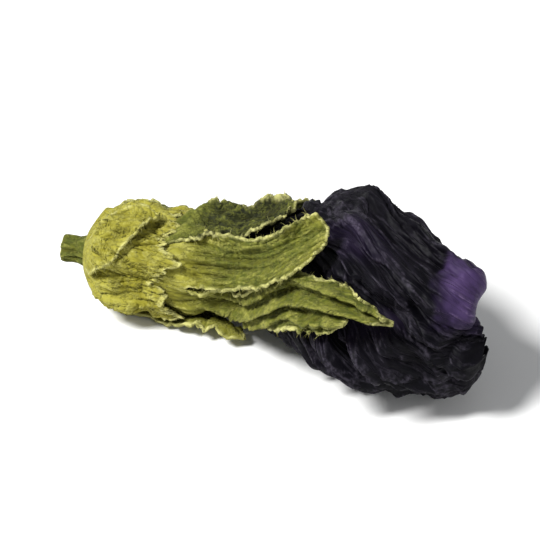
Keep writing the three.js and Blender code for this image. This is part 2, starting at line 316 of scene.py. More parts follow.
def through(values, t):
    """A smooth curve through evenly spaced values, for t from 0 to 1."""
    at = min(max(t, 0.0), 1.0) * (len(values) - 1)
    k = min(int(at), len(values) - 2)
    a, b = values[k], values[k + 1]
    before = values[k - 1] if k else 2 * a - b
    after = values[k + 2] if k + 2 < len(values) else 2 * b - a
    t = at - k
    bend = (2 * before - 5 * a + 4 * b - after) + (3 * a - before - 3 * b + after) * t
    return a + 0.5 * t * (b - before + t * bend)


def sepal_line(sepal, v):
    """Where a sepal's middle is: along, angle and radius, and its half width there."""
    along = through(sepal["along"], v)
    laid_on = max(fan_radius(along) + BLADE + GAP + LAP + 0.4 * PLEAT_DEPTH - PRESS, MOUTH_RADIUS - 0.1)
    radius = blend(MOUTH_RADIUS - 0.45, laid_on, smoothstep(along, 4.0, 6.4)) + through(sepal["lift"], v)
    width = through(sepal["half"], v) * blend(sepal["tip"], 1, (1 - v ** sepal["blunt"]) ** 0.6)
    return along, math.radians(through(sepal["angle"], v)), radius, width


SPINE_STEPS = 30
SEPAL_SPINES = [
    [sepal_line(sepal, k / SPINE_STEPS) for k in range(SPINE_STEPS + 1)] for sepal in SEPALS
]
print("ends of the sepals, mm along:", [round(spine[-1][0], 1) for spine in SEPAL_SPINES])

# %% Where the sepals press
PRESS_FADE = 1.6  # mm beside a sepal, over which its print fades
PRESS_END = 1.5  # mm past its tip


def pressed(along, angle):
    """How far a place on the petals is pressed in by the sepals, from 0 to 1."""
    most = 0.0
    for spine in SEPAL_SPINES:
        tip = spine[-1][0]
        if along > tip + PRESS_END:
            continue
        _, turned, radius, width = min(spine, key=lambda spot: abs(spot[0] - along))
        turn = (angle - turned + math.pi) % (2 * math.pi) - math.pi
        beside = 1 - smoothstep(abs(turn) * radius, width, width + PRESS_FADE)
        most = max(most, beside * (1 - smoothstep(along, tip, tip + PRESS_END)))
    return most


print("pressed under the longest sepal:", round(pressed(12, math.radians(185)), 2))

# %% [markdown]
# ## Where on the petal, and how it is folded
# Each point of a petal starts on the smooth form, and folds are added in order of size: the
# pleats that all the layers share, the creases along the veins, and the crumple of the free
# margin. The creases also lean to one side, because a fold that falls over looks like cloth,
# and one that only goes up and down looks like a wave. With each point comes how sharp its
# crest is and how violet it has stayed, for the colour.

# %% What all petals share
HEAD_START, COLUMN_RADIUS, HEAD_RADIUS = 8.2, 0.6, 0.95  # of the solid's column
VIOLET_ALONG, VIOLET_ANGLE = 23.2, math.radians(124)  # the middle of a smooth violet patch
SAG_ANGLE, SAG_START, SAG_END = math.radians(92), 15.5, 18.5  # on the top of the wide end


def clear_of_column(along, radius):
    """The radius, kept off the column by a soft bend."""
    width = blend(COLUMN_RADIUS, HEAD_RADIUS, smoothstep(along, HEAD_START - 2, HEAD_START + 2))
    least = (width + GAP + 0.36) * (1 - smoothstep(along, 14, 17))
    return least + math.log(1 + math.exp((radius - least) * 3)) / 3


def pleat(along, angle):
    """The pleats that all petals share."""
    uneven = 0.75 + 0.25 * math.sin(3 * angle + 0.6)
    crowding = 1.5 * math.sin(2 * angle + 1) + 0.12 * along
    return PLEAT_DEPTH * smoothstep(along, 8, 14) * uneven * math.sin(12 * angle + crowding)


def sag(along, angle):
    """How far the petals have sunk in on top, in mm."""
    near_top = math.exp(-(((math.cos(angle - SAG_ANGLE) - 1) / 0.15) ** 2))
    return near_top * smoothstep(along, SAG_START, SAG_END)


def violet(along, angle, seed):
    """How violet a place has stayed, and how much of that is the smooth patch, from 0 to 1."""
    turn = (angle - VIOLET_ANGLE + math.pi) % (2 * math.pi) - math.pi
    below = max(turn, 0.0)  # the patch leans, and reaches further down than up
    x, y = round_the_axis(1, angle)
    uneven = 0.8 * noise.noise((3 * x, 3 * y, 0.8 * along))
    uneven += 0.4 * noise.noise((9 * x, 9 * y, 2.1 * along))
    from_middle = math.hypot(along - VIOLET_ALONG - 1.4 * below, 4.5 * turn - 1.6 * below)
    patch = 1 - smoothstep(from_middle + uneven, 0.9, 2.6)
    stain = smoothstep(noise.noise((1.3 * x, 1.3 * y, 0.17 * along + 3 * seed)), 0.3, 0.6)
    return max(patch, 0.15 * stain * smoothstep(along, 9, 14)), patch


print("violet in the middle of the patch:", violet(VIOLET_ALONG, VIOLET_ANGLE, 0))

# %% A petal's own folds
CLAW_SPREAD, LAPPED_SPREAD = 38, 56  # degrees from a petal's middle to its side


def strand_end(u, notch):
    """How much of the petal's length a strand has: less in the notch and at the corners."""
    cut_in = notch * math.exp(-((u / 0.24) ** 2))
    return 1 - cut_in - 0.13 * abs(u) ** 3 - 0.12 * smoothstep(abs(u), 0.75, 1)


def strand_angle(petal, u, opened):
    """The angle of the strand at u, before the twist. The sides reach further once it opens."""
    if u < 0:
        reach = blend(CLAW_SPREAD, petal["tucked"], opened)
        return math.radians(petal["angle"] - reach * math.sin(min(1, -1.3 * u) * math.pi / 2))
    reach = blend(CLAW_SPREAD, LAPPED_SPREAD, opened)
    return math.radians(petal["angle"] + reach * math.sin(0.9 * u * math.pi / 2))


def petal_creases(along, angle, seed):
    """The height of the creases in mm, how far they lean over and how sharp the crest is."""
    broad, fine, hair = vein_creases(along, angle, seed)
    x, y = round_the_axis(5.2, angle)
    z = along + 4 * seed
    across = crest(0.8 * x, 0.8 * y, 0.75 * z + 30)
    facets, facet_crest = folded(PETAL_FOLDS, x, y, z)
    height = 0.34 * (broad - 0.45) + 0.22 * (fine - 0.5) + 0.06 * (hair - 0.5)
    height += 0.20 * (across - 0.5) + 0.10 * facets
    fold = marks((
        (broad, 0.8, 0.12), (fine, 0.9, 0.2), (hair, 0.5, 0.3), (across, 0.8, 0.15),
        (facet_crest, 0.7, 0.1),
    ))
    return height, 0.07 * broad + 0.035 * fine, fold


def crumple(petal, u, along, angle, seed, free):
    """Dents, and where the margin is free, its crumple and its ruffle, in mm."""
    x, y = round_the_axis(3.6, angle)
    dents = 0.6 * noise.noise((0.5 * x, 0.5 * y, 0.5 * along)) * smoothstep(along, 8, 13)
    coarse = 0.50 * noise.noise((1.2 * x, 1.2 * y, 1.2 * along + seed))
    fine = 0.22 * noise.noise((2.7 * x, 2.7 * y, 2.7 * along + seed))
    ruffle = petal["ruffle"] * math.sin(7 * u + petal["phase"])
    return dents + free * (coarse + fine + ruffle)


print("height of the creases at one place, mm:", round(petal_creases(15, 1, 2)[0], 2))

# %% A point of a petal


def petal_point(petal, places, u, v, seed):
    """A petal's point for u across, -1 to 1, and v along, 0 to 1, with its crest and violet."""
    ragged = 0.012 * noise.noise((5 * u, seed, 0)) + 0.008 * noise.noise((15 * u, seed, 4))
    end = strand_end(u, petal["notch"]) + ragged - 0.02
    share = v * end
    at = share * STRAND_STEPS
    low = int(at)
    along = blend(places[low][0], places[low + 1][0], at - low)
    radius = blend(places[low][1], places[low + 1][1], at - low)

    opened = smoothstep(share, 0.12, 0.5)
    angle = strand_angle(petal, u, opened)
    turned = angle + TWIST * smoothstep(share, 0.35, 1)
    press = pressed(along, turned)
    left, patch = violet(along, turned, seed)

    tuck = (0.17 + 0.42 * (fan_radius(along) - CLAW_RADIUS)) * smoothstep(-u, 0.12, 0.9)
    lap = LAP * blend(0.2, 1, opened) * smoothstep(u, 0.35, 0.9)
    sunk = PRESS * press * opened + sag(along, turned) * (1 - patch)
    radius += lap - tuck + pleat(along, angle) * (1 - 0.6 * max(press, patch)) - sunk

    height, lean, fold = petal_creases(along, angle, seed)
    depth = smoothstep(along, 6, 12) * (1 - 0.75 * patch) * (1 - 0.5 * press)
    free = smoothstep(share, 0.72 * end, end) * (1 - 0.6 * patch)
    radius += height * depth + crumple(petal, u, along, turned, seed, free)
    return place(along, turned + lean * depth, clear_of_column(along, radius)), fold, left


sample = petal_point(PETALS[0], strand(24.6, -38, 1, 0), 0.2, 0.7, 3)
print("one point of a petal, m:", sample[0])

# %% [markdown]
# ## Making the petals
# A petal is a sheet, so it starts as a flat grid whose points are then moved to their places.
# A grid keeps its UV map, which the veins of the material will follow. Two attributes go with
# the points: how high each is on its fold, and how violet it has stayed. A Solidify modifier
# gives the sheet the thickness of dried petal.

# %% Grids and pieces


def grid(bm, across, along):
    """A grid from -1 to 1 in x and y in bm, with a UV map. Returns its points."""
    bm.loops.layers.uv.verify()
    return bmesh.ops.create_grid(bm, x_segments=across, y_segments=along, size=1, calc_uvs=True)["verts"]


def piece(name, bm, node, thickness=0.0):
    """A finished bmesh becomes an object that rides on the flower and replaces a solid."""
    mesh = bpy.data.meshes.new(name)
    bm.to_mesh(mesh)
    bm.free()
    mesh.shade_smooth()
    made = bpy.data.objects.new(name, mesh)
    bpy.context.scene.collection.objects.link(made)
    if thickness:
        wall = made.modifiers.new("thickness", "SOLIDIFY")
        wall.thickness = thickness * MM
        wall.offset = 0
    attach(made, "root")
    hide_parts(node)
    return made


trial = bmesh.new()
print("points in a grid of 2 by 3:", len(grid(trial, 2, 3)))
trial.free()

# %% Petal sheets
PETAL_THICKNESS = 0.09  # mm
IN_FRONT = 2  # the first two petals and sepals are in front, so their grids are finer
FRONT_GRID, BACK_GRID = (220, 170), (150, 130)


def make_petal(number, petal):
    """One petal, with a strand worked out for each column of its grid."""
    bm = bmesh.new()
    fold = bm.verts.layers.float.new("fold")
    left = bm.verts.layers.float.new("violet")
    strands = {}
    for vert in grid(bm, *(FRONT_GRID if number < IN_FRONT else BACK_GRID)):
        u, v = vert.co.x, (vert.co.y + 1) / 2
        key = round(u, 4)
        if key not in strands:
            roll = petal["roll"] + 1.1 * noise.noise((3.1 * u, 1.7 * number, 8.0))
            end = strand_end(u, petal["notch"])
            strands[key] = strand(petal["length"], petal["curl"], end, roll)
        vert.co, vert[fold], vert[left] = petal_point(petal, strands[key], u, v, 11.3 * number + 2)
    return piece(f"petal_{number + 1}", bm, "corolla", PETAL_THICKNESS)


petals = [make_petal(number, petal) for number, petal in enumerate(PETALS)]
print("faces in one petal sheet:", len(petals[0].data.polygons))

# %% [markdown]
# ## The cup of the calyx
# The calyx is a cup that splits into five sepals. Its foot is covered by a skin as thin as
# tissue, which dries yellow, puckers lengthwise and tears into points where it ends. It is a
# sheet that closes round the axis: a grid whose two sides meet, with the doubled points there
# merged. Three attributes colour all sheets of the calyx: the fold, which places painted shade and
# highlights, how far a place is a pale torn rim, and its tone, from yellow to olive and on to dark, which
# is painted shade.

# %% Form and puckers of the cup
CUP_FOOT_RADIUS = 0.55
PUCKER_RADIUS = 2.8  # where the spacing of the puckers is reckoned


def cup_radius(along):
    swell = math.sqrt(1 - (1 - min(max(along / CUP_SWELL, 0), 1)) ** 2)
    narrowing = (MOUTH_RADIUS - CUP_RADIUS) * smoothstep(along, CUP_SWELL, CUP_LENGTH)
    return blend(CUP_FOOT_RADIUS, CUP_RADIUS, swell) + narrowing


def pucker(along, angle, seed=0.0):
    """Height in mm and crest of the puckers in the calyx."""
    x, y = round_the_axis(PUCKER_RADIUS, angle)
    bend = 0.7 * noise.noise((0.5 * x, 0.5 * y, 0.35 * along + 5 + seed))
    broad = crest(0.75 * x + bend, 0.75 * y + bend, 0.24 * along + 17 + seed)
    fine = crest(1.9 * x, 1.9 * y, 0.75 * along + 40 + seed)
    hair = crest(4.1 * x, 4.1 * y, 1.9 * along + 51 + seed)
    across = crest(0.45 * x, 0.45 * y, 0.9 * along + 90 + seed)
    facets, facet_crest = folded(CUP_FOLDS, x, y, along + seed)
    dents = noise.noise((0.45 * x, 0.45 * y, 0.45 * along + 60 + seed))
    height = 0.26 * (broad - 0.45) + 0.17 * (fine - 0.5) + 0.05 * (hair - 0.5) + 0.12 * (across - 0.5)
    height += 0.45 * dents + 0.11 * facets
    return height, marks((
        (broad, 0.8, 0.2), (fine, 0.9, 0.25), (hair, 0.4, 0.3), (across, 0.5, 0.2),
        (facet_crest, 0.8, 0.15),
    ))


print("radius of the cup at 2 mm:", round(cup_radius(2), 2))

# %% The torn edge
CALYX_CLEARANCE = 0.16  # mm above the table


def fringe(angle):
    """How far the torn points reach past the cup, in mm."""
    x, y = round_the_axis(PUCKER_RADIUS, angle)
    teeth = 0.35 * crest(1.9 * x, 1.9 * y, 8.1) + 0.55 * crest(4.2 * x, 4.2 * y, 5.2)
    return 1.15 * crest(0.62 * x, 0.62 * y, 3.3) + teeth - 0.45


def cup_point(u, v):
    """The cup's point for u round it, -1 to 1, and v along, 0 to 1, with its three attributes."""
    angle = math.pi * u
    ribs = 0.10 * math.cos(5 * angle)
    reach = CUP_LENGTH + fringe(angle)
    along = reach * (1 - math.cos(v * math.pi / 2)) ** 0.9
    height, fold = pucker(along, angle)
    flare = 0.30 * smoothstep(along, CUP_LENGTH - 0.9, CUP_LENGTH + 0.6)
    relief = ribs * smoothstep(along, 0, 1) + height * smoothstep(along, 0, 1.3)
    rim = 0.9 * smoothstep(v, 0.93, 0.99)
    point = place(along, angle, cup_radius(along) + relief + flare, CALYX_CLEARANCE)
    return point, fold, rim, 0.0


print("reach of the torn edge on top, mm:", round(fringe(math.pi / 2), 2))

# %% Cup sheet
CALYX_LAYERS = ("fold", "rim", "tone")
CALYX_THICKNESS = 0.16  # mm
CUP_GRID = 300, 110


def calyx_sheet(name, across, along, point, thickness=CALYX_THICKNESS):
    """A sheet of the calyx: point(u, v) gives a place and its three attributes."""
    bm = bmesh.new()
    layers = [bm.verts.layers.float.new(layer) for layer in CALYX_LAYERS]
    for vert in grid(bm, across, along):
        vert.co, *values = point(vert.co.x, (vert.co.y + 1) / 2)
        for layer, value in zip(layers, values):
            vert[layer] = value
    bmesh.ops.remove_doubles(bm, verts=bm.verts, dist=1e-7)
    return piece(name, bm, "calyx", thickness)


cup = calyx_sheet("calyx_cup", *CUP_GRID, cup_point)
print("faces in the cup:", len(cup.data.polygons))

# %% [markdown]
# ## Sepals
# The sepals come out from under the torn skin. They are felted, thicker and greener, with
# pale frayed margins. Some have dried as a boat, others have collapsed into ridges with dark
# creases between them, which run along the sepal. So their folds are reckoned across and
# along the sepal itself, in millimetres, and not round the axis.

# %% Folds of a sepal


def sepal_folds(sepal, seed, u, v, along, width):
    """The relief of a sepal in mm, and how sharp its crest is there."""
    t = u * width  # across the sepal, as along is lengthwise
    broad = crest(0.72 * t + 0.3 * noise.noise((0.5 * along, t, seed)), 0.16 * along, seed)
    fine = crest(1.9 * t, 0.5 * along, seed + 20)
    hair = crest(4.0 * t, 1.3 * along, seed + 30)
    across = crest(0.4 * t, 0.75 * along, seed + 40)
    facets, facet_crest = folded(CUP_FOLDS, 1.2 * t, seed, along)
    dents = noise.noise((0.6 * t, 0.6 * along, seed + 50))
    ridges = 0.42 * (broad - 0.45) + 0.18 * (fine - 0.5) + 0.05 * (hair - 0.5) + 0.10 * (across - 0.5)
    waver = 2.0 * noise.noise((0.35 * along, 0.4 * t, seed + 60))
    gather = 1 - abs(math.sin(4.4 * u + waver)) ** 0.7
    gathered = sepal["gathered"] * smoothstep(v, 0.2, 0.4)
    relief = sepal["ridged"] * (ridges + 0.09 * facets) + 0.22 * dents + gathered * (1.6 * gather - 0.5)
    return relief, marks((
        (broad, 1.0, 0.25), (fine, 0.9, 0.25), (hair, 0.4, 0.3), (across, 0.4, 0.2),
        (facet_crest, 0.6, 0.15), (gather, min(1, 2 * gathered), 0.3),
    ))


def sepal_margin(seed, u, v, width):
    """How far the margin curls up in mm, and how pale and frayed it is there, from 0 to 1."""
    side = 1 if u > 0 else -1
    uneven = 0.5 + noise.noise((5 * v, side, seed + 80))
    frill = 0.5 * noise.noise((4 * v, side, seed + 7)) + 0.16 * uneven * noise.noise((14 * v, side, seed))
    curl = smoothstep(abs(u), 0.72, 1.0) * (0.22 + frill)
    inwards = width * (1 - abs(u)) + 0.08 * noise.noise((9 * v, side, seed + 70))
    frayed = max(1 - smoothstep(inwards, 0.03, 0.15), smoothstep(v, 0.98, 0.995))
    return curl, frayed * min(1, 0.35 + uneven)


print("curl of a margin, mm:", round(sepal_margin(0, 1, 0.5, 2)[0], 2))

# %% Sepal sheets
SEPAL_THICKNESS = 0.18  # mm
FRONT_SEPAL_GRID, BACK_SEPAL_GRID = (90, 150), (64, 100)


def sepal_point(sepal, number, u, v):
    """A sepal's point for u across, -1 to 1, and v along, 0 to 1, with its three attributes."""
    seed = 13.0 * number
    cleft = sepal["cleft"] * (smoothstep(u, 0.0, 0.3) + 0.8 * math.exp(-(((u - 0.12) / 0.12) ** 2)))
    rounding = (0.05 + 0.12 * sepal["tip"]) * abs(u) ** 2.5
    share = v * (1 - cleft - rounding * smoothstep(v, 0.6, 1))
    along, middle, line_radius, width = sepal_line(sepal, share)
    free = smoothstep(v, 0.1, 0.3)
    side = 1 if u > 0 else -1
    ragged = 0.14 * noise.noise((6 * v, side, seed)) + 0.13 * noise.noise((30 * v, side, seed))
    width *= 1 + ragged * free

    relief, fold = sepal_folds(sepal, seed, u, v, along, width)
    curl, frayed = sepal_margin(seed, u, v, width)
    trough = sepal["boat"] * u * u * smoothstep(v, 0.15, 0.6)
    rib = 0.12 * (1 - smoothstep(abs(u * width), 0.0, 0.35))
    radius = line_radius + trough + (relief + curl + rib) * (0.25 + 0.75 * free)
    point = place(along, middle + u * width / radius, radius, CALYX_CLEARANCE)
    # The hollow of a boat is painted darker olive as shade, and the rest a little more yellow.
    painted_hollow_shade = math.exp(-(((u + 0.25) / 0.35) ** 2)) - 0.3
    tone = through(sepal["tone"], v) + 0.14 * sepal["boat"] * painted_hollow_shade * free
    return point, fold, frayed * free, tone


def make_sepal(number, sepal):
    size = FRONT_SEPAL_GRID if number < IN_FRONT else BACK_SEPAL_GRID
    return calyx_sheet(f"sepal_{number + 1}", *size, lambda u, v: sepal_point(sepal, number, u, v),
                       SEPAL_THICKNESS)


sepals = [make_sepal(number, sepal) for number, sepal in enumerate(SEPALS)]
print("faces in the sepals:", [len(made.data.polygons) for made in sepals])

# %% [markdown]
# ## Bracts
# Three bracts spring from the foot of the cup. In drying they have shrivelled onto it, so
# that little more than a raised edge and a fold shows.

# %% Bracts
BRACT_GRID = 40, 90
# The rows say the same as those of the sepals. The lift is measured from the cup.
BRACTS = [
    {"along": (0.4, 1.5, 2.8, 4.3), "angle": (150, 132, 112, 92),
     "half": (0.8, 1.3, 1.4, 0.9), "lift": (0.1, 0.3, 0.3, 0.45), "tone": (0.0, 0.05, 0.0)},
    {"along": (0.8, 3.5, 6.4, 8.2, 9.9), "angle": (268, 264, 250, 240, 233),
     "half": (0.8, 1.1, 1.3, 1.3, 1.0), "lift": (0.1, 0.25, 0.5, 0.6, 0.9), "tone": (0.2, 0.5, 0.4)},
    {"along": (0.5, 2.5, 5.0, 7.4), "angle": (22, 20, 17, 14),
     "half": (0.7, 1.1, 1.1, 0.8), "lift": (0.1, 0.3, 0.35, 0.4), "tone": (0.2, 0.7, 0.9)},
]


def bract_point(bract, number, u, v):
    """A bract's point, in the same way as a sepal's."""
    along, middle = through(bract["along"], v), math.radians(through(bract["angle"], v))
    side = 1 if u > 0 else -1
    taper = (1.02 - v ** 4) ** 0.7 * (1 + 0.22 * noise.noise((5 * v, side, number)))
    resting = blend(cup_radius(min(along, CUP_SWELL)), CUP_RADIUS, smoothstep(along, 2, 6.5))
    angle = middle + u * through(bract["half"], v) * taper / resting
    height, fold = pucker(along, angle, 31.0 * number)
    edge = 0.3 * u * u + 0.25 * smoothstep(abs(u), 0.7, 1) * noise.noise((3 * v, side, number + 4))
    radius = resting + through(bract["lift"], v) + (height + edge) * smoothstep(v, 0.02, 0.2)
    rim = 0.8 * max(smoothstep(abs(u), 0.86, 0.97), smoothstep(v, 0.95, 0.99))
    return place(along, angle, radius, CALYX_CLEARANCE), fold, rim, through(bract["tone"], v)


bracts = [
    calyx_sheet(f"bract_{number + 1}", *BRACT_GRID, lambda u, v: bract_point(bract, number, u, v))
    for number, bract in enumerate(BRACTS)
]
print("bracts:", [made.name for made in bracts])

# %% [markdown]
# ## Hairs
# Sepals and bracts of mallow carry long stiff hairs along their margins. Each is a thin cone of
# four sides that stands out from the margin where a point of the sheet is, in a direction that
# a seeded random number turns a little.

# %% Hairs on the margins
HAIRS_ON_SEPAL, HAIRS_ON_BRACT = 80, 40
SHORTEST_HAIR, LONGEST_HAIR = 0.18, 0.5  # mm
HAIR_FOOT, HAIR_TIP = 0.013, 0.003  # mm, the radius
HAIR_LEAN, HAIR_SUNK = 0.55, 0.05  # sunk is the share of a hair inside the margin
LOWEST_HAIR = 0.3  # mm above the table


def add_hairs(bm, count, point, rng):
    """Hairs on the two sides of a sheet, which point(u, v) describes."""
    for _ in range(count):
        side, v = rng.choice((-1, 1)), rng.uniform(0.22, 0.985)
        root, inner = point(0.99 * side, v)[0], point(0.9 * side, v)[0]
        lean = Vector([rng.uniform(-HAIR_LEAN, HAIR_LEAN) for _ in range(3)])
        way = (root - inner).normalized() + lean
        length = rng.uniform(SHORTEST_HAIR, LONGEST_HAIR) * MM
        middle = root + way.normalized() * (0.5 - HAIR_SUNK) * length
        if middle.z < LOWEST_HAIR * MM:
            continue
        stand = Matrix.Translation(middle) @ way.to_track_quat("Z", "Y").to_matrix().to_4x4()
        bmesh.ops.create_cone(bm, cap_ends=True, cap_tris=True, segments=4, radius1=HAIR_FOOT * MM,
                              radius2=HAIR_TIP * MM, depth=length, matrix=stand)


def make_hairs():
    bm = bmesh.new()
    fold, rim, _ = [bm.verts.layers.float.new(layer) for layer in CALYX_LAYERS]
    rng = random.Random(12)
    for number, sepal in enumerate(SEPALS):
        add_hairs(bm, HAIRS_ON_SEPAL, lambda u, v: sepal_point(sepal, number, u, v), rng)
    for number, bract in enumerate(BRACTS):
        add_hairs(bm, HAIRS_ON_BRACT, lambda u, v: bract_point(bract, number, u, v), rng)
    for vert in bm.verts:
        vert[fold], vert[rim] = 0.6, 0.9  # flat, and as pale as the margin
    return piece("margin_hairs", bm, "calyx")


hairs = make_hairs()
print("faces in the hairs:", len(hairs.data.polygons))

# %% [markdown]
# ## Stalk and column
# The stalk was broken off short when the flower was picked. In the middle of the petals stands
# the column, with a head of dry anthers that shows only from the open end. Both are turned
# round the axis with a spin, and then get bumps.

# %% Turning round the axis
SPUN_CLEARANCE = 0.1  # mm above the table
PROFILE_STEPS = 8  # between two corners


def spun(profile, steps):
    """A profile of (along, radius) turned round the axis, as a bmesh in flower measures."""
    bm = bmesh.new()
    verts = [bm.verts.new((along, 0, radius)) for along, radius in profile]
    edges = [bm.edges.new(pair) for pair in zip(verts, verts[1:])]
    bmesh.ops.spin(bm, geom=verts + edges, cent=(0, 0, 0), axis=(1, 0, 0), steps=steps,
                   angle=2 * math.pi, use_merge=True)
    bmesh.ops.remove_doubles(bm, verts=bm.verts, dist=1e-4)
    return bm


def smooth_profile(corners):
    """More points between the corners of a profile."""
    points = []
    for (a, r), (b, s) in zip(corners, corners[1:]):
        shares = [k / PROFILE_STEPS for k in range(PROFILE_STEPS)]
        points += [(blend(a, b, share), blend(r, s, share)) for share in shares]
    return points + [corners[-1]]


def lay_along_axis(bm, bumps):
    """Moves a spun shape from flower measures to its place, with bumps in its skin."""
    for vert in bm.verts:
        along, radius = vert.co.x, math.hypot(vert.co.y, vert.co.z)
        angle = math.atan2(vert.co.z, vert.co.y)
        if radius > 0.01:
            radius += bumps(along, angle)
        vert.co = place(along, angle, radius, SPUN_CLEARANCE)
    bmesh.ops.recalc_face_normals(bm, faces=bm.faces)


print("points in a smoothed profile:", len(smooth_profile([(0, 0), (1, 1), (2, 0)])))

# %% Stalk
STALK_STEPS = 100  # round the axis
STALK_CORNERS = [  # along and radius, mm
    (-1.42, 0.0), (-1.5, 0.45), (-1.42, 0.68), (-1.2, 0.73),
    (-0.5, 0.7), (0.1, 0.95), (0.85, 0.9), (0.85, 0.0),
]


def stalk_rib(along, angle):
    return crest(*round_the_axis(2.6, angle), 0.4 * along)


def make_stalk():
    bm = spun(smooth_profile(STALK_CORNERS), STALK_STEPS)
    fold, rim, tone = [bm.verts.layers.float.new(layer) for layer in CALYX_LAYERS]
    for vert in bm.verts:
        along, angle = vert.co.x, math.atan2(vert.co.z, vert.co.y)
        vert[fold], vert[tone] = marks(((stalk_rib(along, angle), 0.8, 0.3),)), 0.8
        vert[rim] = 1 - smoothstep(along, -1.48, -1.4)  # the broken end shows pale fibre
    lay_along_axis(bm, lambda along, angle: 0.22 * (stalk_rib(along, angle) - 0.5))
    return piece("stalk_stub", bm, "calyx")


stalk = make_stalk()
print("faces in the stalk:", len(stalk.data.polygons))

# %% Column
ANTHERS, ANTHERS_START, ANTHERS_END = 90, 10.3, 13.3  # how many, and where along the axis
COLUMN_STEPS = 32
COLUMN_CORNERS = [
    (2.0, 0.0), (2.0, 0.6), (10.2, 0.48), (10.7, 0.72),
    (11.9, 0.85), (13.2, 0.6), (13.5, 0.25), (13.52, 0.0),
]


def column_bump(along, angle):
    return 0.05 * noise.noise((*round_the_axis(3, angle), along))


def make_column():
    bm = spun(smooth_profile(COLUMN_CORNERS), COLUMN_STEPS)
    lay_along_axis(bm, column_bump)
    rng = random.Random(4)
    for _ in range(ANTHERS):
        along, angle = rng.uniform(ANTHERS_START, ANTHERS_END), rng.uniform(0, 2 * math.pi)
        out = 0.62 + 0.3 * math.sin(math.pi * (along - 10) / 3.9) + rng.uniform(-0.05, 0.1)
        size = rng.uniform(0.12, 0.17) * MM
        grain = bmesh.ops.create_icosphere(bm, subdivisions=1, radius=size)["verts"]
        bmesh.ops.scale(bm, verts=grain, vec=(1, rng.uniform(0.6, 1), rng.uniform(0.6, 1)))
        bmesh.ops.translate(bm, verts=grain, vec=place(along, angle, out))
    return piece("column_with_anthers", bm, "staminal_column")


column = make_column()
print("faces in the column:", len(column.data.polygons))

# %% [markdown]
# ## Materials
# A few helpers keep the node trees short. Each material is one Principled shader, with its
# colour, roughness and bump driven by the attributes of the mesh and by noise on Object
# coordinates, so that the pattern stays on the piece from every side.

# %% Node helpers


class Wiring:
    """Short calls that add nodes to a node tree and wire them up."""

    def __init__(self, tree):
        self.nodes, self.links = tree.nodes, tree.links

    def plug(self, socket, value):
        """Gives a socket a number, a colour or the output of another node."""
        if isinstance(value, bpy.types.NodeSocket):
            self.links.new(value, socket)
        elif isinstance(value, tuple) and socket.type == "RGBA":
            socket.default_value = (*value, 1)
        else:
            socket.default_value = value

    def fill(self, node, sockets):
        """Gives the sockets of a node their values, by name."""
        for name, value in sockets.items():
            self.plug(node.inputs[name.replace("_", " ")], value)
        return node

    def add(self, kind, **sockets):
        return self.fill(self.nodes.new(kind), sockets)

    def stretched(self, vector, scale):
        return self.add("ShaderNodeMapping", Vector=vector, Scale=scale).outputs["Vector"]

    def noise(self, vector, scale, detail=3.0, roughness=0.55):
        cloud = self.add("ShaderNodeTexNoise", Vector=vector, Scale=scale, Detail=detail,
                         Roughness=roughness)
        return cloud.outputs["Fac"]

    def remap(self, value, low, high, to_low=0.0, to_high=1.0):
        """A smooth step from low to high, which may also run down."""
        step = self.add("ShaderNodeMapRange", Value=value, From_Min=low, From_Max=high,
                        To_Min=to_low, To_Max=to_high)
        step.interpolation_type = "SMOOTHSTEP"
        return step.outputs["Result"]

    def math(self, operation, a, b=0.0):
        node = self.nodes.new("ShaderNodeMath")
        node.operation = operation
        self.plug(node.inputs[0], a)
        self.plug(node.inputs[1], b)
        return node.outputs["Value"]

    def times(self, a, b):
        return self.math("MULTIPLY", a, b)

    def lines(self, value, width):
        """1 on the thin lines where a noise crosses its middle, 0 elsewhere."""
        off_middle = self.math("ABSOLUTE", self.math("SUBTRACT", value, 0.5))
        return self.remap(off_middle, 0.0, width, 1.0, 0.0)


print("wiring ready")

# %% Paint


class Paint(Wiring):
    """A material with one Principled shader."""

    def __init__(self, name):
        self.material = bpy.data.materials.new(name)
        self.material.use_nodes = True
        super().__init__(self.material.node_tree)
        self.shader = self.nodes["Principled BSDF"]
        coordinates = self.nodes.new("ShaderNodeTexCoord")
        self.place = self.stretched(coordinates.outputs["Object"], (1 / MM,) * 3)  # in millimetres
        self.uv = coordinates.outputs["UV"]

    def attribute(self, name):
        node = self.nodes.new("ShaderNodeAttribute")
        node.attribute_name = name
        return node.outputs["Fac"]

    def mix(self, share, a, b):
        node = self.nodes.new("ShaderNodeMix")
        node.data_type = "RGBA"
        self.plug(node.inputs["Factor"], share)
        for socket, value in zip([s for s in node.inputs if s.type == "RGBA"], (a, b)):
            self.plug(socket, value)
        return next(s for s in node.outputs if s.type == "RGBA")

    def bump(self, height, distance, strength=1.0, before=None):
        """A normal with bumps of a given height in mm, on top of those from before."""
        node = self.add("ShaderNodeBump", Height=height, Distance=distance * MM, Strength=strength)
        if before is not None:
            self.plug(node.inputs["Normal"], before)
        return node.outputs["Normal"]

    def skin(self, **sockets):
        """The shrivelled skin's masks, from the group that both finishes share."""
        node = self.nodes.new("ShaderNodeGroup")
        node.node_tree = SKIN
        return self.fill(node, sockets).outputs

    def feed(self, **sockets):
        self.fill(self.shader, sockets)
        return self.material


print("paint ready")
